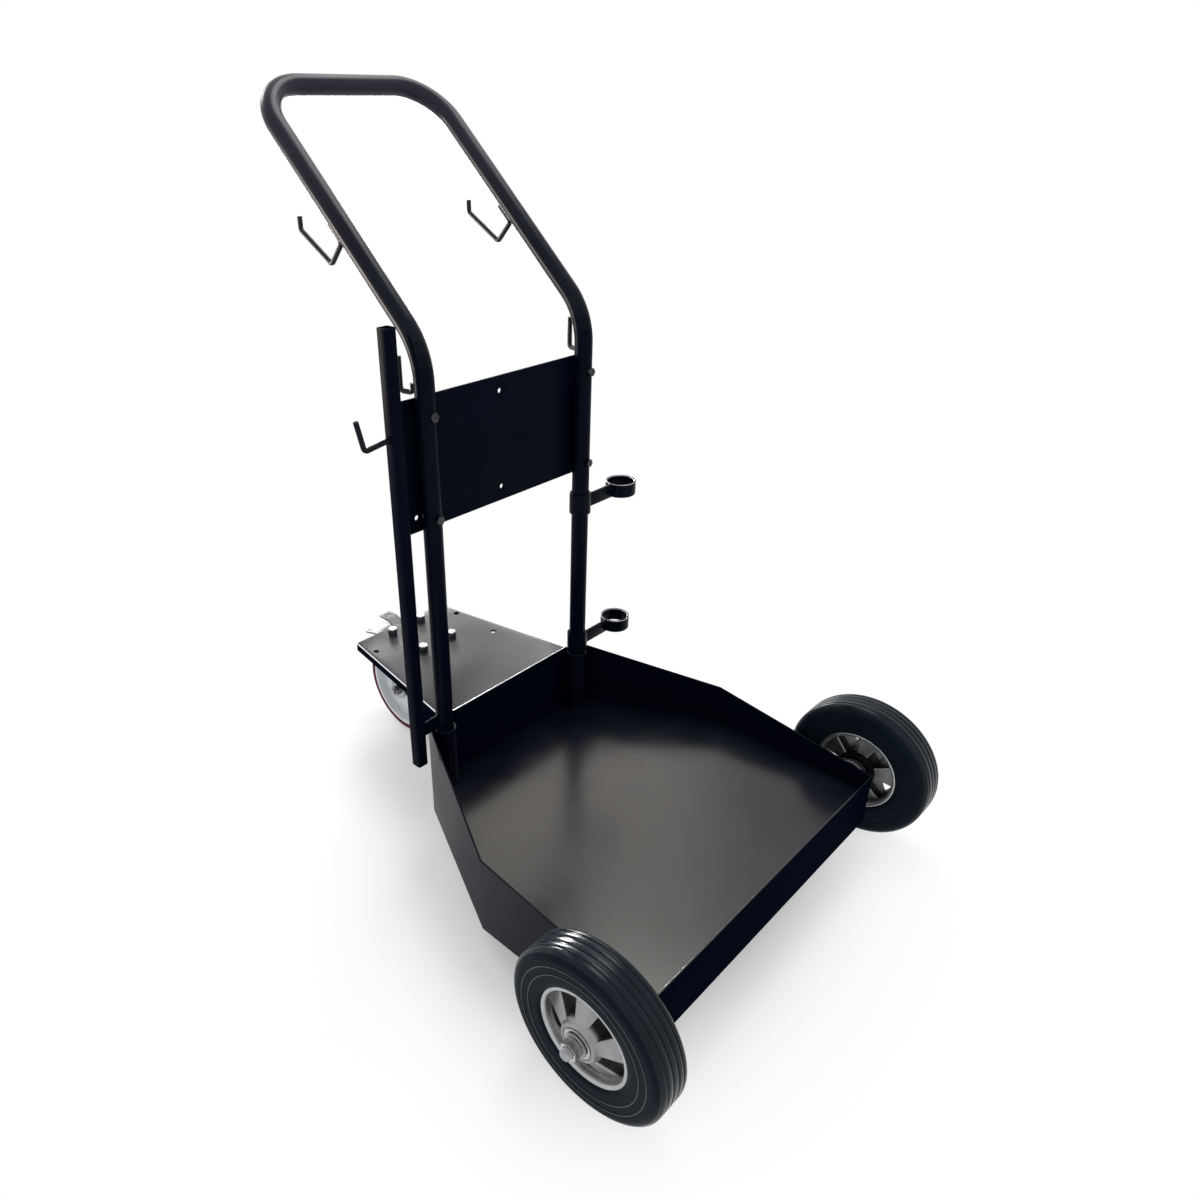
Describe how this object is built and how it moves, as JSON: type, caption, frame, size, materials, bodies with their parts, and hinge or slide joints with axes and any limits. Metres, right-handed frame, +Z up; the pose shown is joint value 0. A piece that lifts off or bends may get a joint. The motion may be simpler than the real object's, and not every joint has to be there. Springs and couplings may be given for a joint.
{
  "type": "drum trolley",
  "caption": "Steel drum trolley with a low folded tray, spoked front wheels, a braked rear caster, a bent tube handle, rod hooks, ring holders and a square accessory post.",
  "frame": {"origin": "on the ground, under the middle of the overall box", "axes": "+X to the trolley's right, +Y to its rear where the caster is, +Z up"},
  "size_m": [0.8532, 1.038, 1.2123],
  "materials": {
    "black_coat": "satin black powder coat",
    "zinc": "bright zinc plate",
    "steel": "turned steel",
    "cast_rim": "satin cast aluminium",
    "rubber_tyre": "matt black rubber",
    "red_tread": "dark red polyurethane",
    "pale_core": "pale grey cast core"
  },
  "bodies": {
    "frame": {"tray_wall": "black_coat", "tray_floor": "black_coat", "floor_beam": "black_coat", "rear_plate": "black_coat", "handle_tube": "black_coat", "upright_socket_left": "black_coat", "upright_socket_right": "black_coat", "back_panel": "black_coat", "panel_bolt_left_lower": "black_coat", "panel_bolt_left_upper": "black_coat", "panel_bolt_right_lower": "black_coat", "panel_bolt_right_upper": "black_coat", "panel_nut_left_lower": "black_coat", "panel_nut_left_upper": "black_coat", "panel_nut_right_lower": "black_coat", "panel_nut_right_upper": "black_coat", "accessory_post": "black_coat", "post_bracket": "black_coat", "post_hook": "black_coat", "handle_hook_left": "black_coat", "handle_hook_right": "black_coat", "cable_hook_left": "black_coat", "cable_hook_right": "black_coat", "ring_holder_upper": "black_coat", "ring_holder_lower": "black_coat", "axle_stub_left": "steel", "axle_stub_right": "steel", "wheel_spacer_left": "black_coat", "wheel_spacer_right": "black_coat", "wheel_washer_left": "zinc", "wheel_washer_right": "zinc", "axle_nut_left": "zinc", "axle_nut_right": "zinc", "caster_top_plate": "zinc", "caster_kingpin": "zinc", "caster_bolt_left_front": "zinc", "caster_bolt_left_rear": "zinc", "caster_bolt_right_front": "zinc", "caster_bolt_right_rear": "zinc", "caster_nut_left_front": "zinc", "caster_nut_left_rear": "zinc", "caster_nut_right_front": "zinc", "caster_nut_right_rear": "zinc"},
    "left_wheel": {"wheel_tyre_left": "rubber_tyre", "wheel_rim_left": "cast_rim", "bearing_outer_left": "steel", "bearing_inner_left": "steel"},
    "right_wheel": {"wheel_tyre_right": "rubber_tyre", "wheel_rim_right": "cast_rim", "bearing_outer_right": "steel", "bearing_inner_right": "steel"},
    "swivel_fork": {"caster_fork": "zinc", "caster_axle": "zinc", "caster_axle_nut": "zinc", "brake_pin": "zinc"},
    "rear_wheel": {"caster_core": "pale_core", "caster_tyre": "red_tread", "caster_bearing": "steel"},
    "pedal": {"brake_pedal": "zinc"}
  },
  "joints": [
    {"name": "left_wheel_spin", "type": "hinge", "parent": "frame", "child": "left_wheel", "pos_m": [-0.365, -0.394, 0.125], "axis": [1, 0, 0], "continuous": true},
    {"name": "right_wheel_spin", "type": "hinge", "parent": "frame", "child": "right_wheel", "pos_m": [0.365, -0.394, 0.125], "axis": [1, 0, 0], "continuous": true},
    {"name": "caster_swivel", "type": "hinge", "parent": "frame", "child": "swivel_fork", "pos_m": [0, 0.368, 0.2194], "axis": [0, 0, 1], "continuous": true},
    {"name": "caster_wheel_spin", "type": "hinge", "parent": "swivel_fork", "child": "rear_wheel", "pos_m": [0, 0.419, 0.1], "axis": [1, 0, 0], "continuous": true},
    {"name": "brake_pedal_tilt", "type": "hinge", "parent": "swivel_fork", "child": "pedal", "pos_m": [0, 0.414, 0.2085], "axis": [-1, 0, 0], "range_deg": [0, 10]}
  ]
}
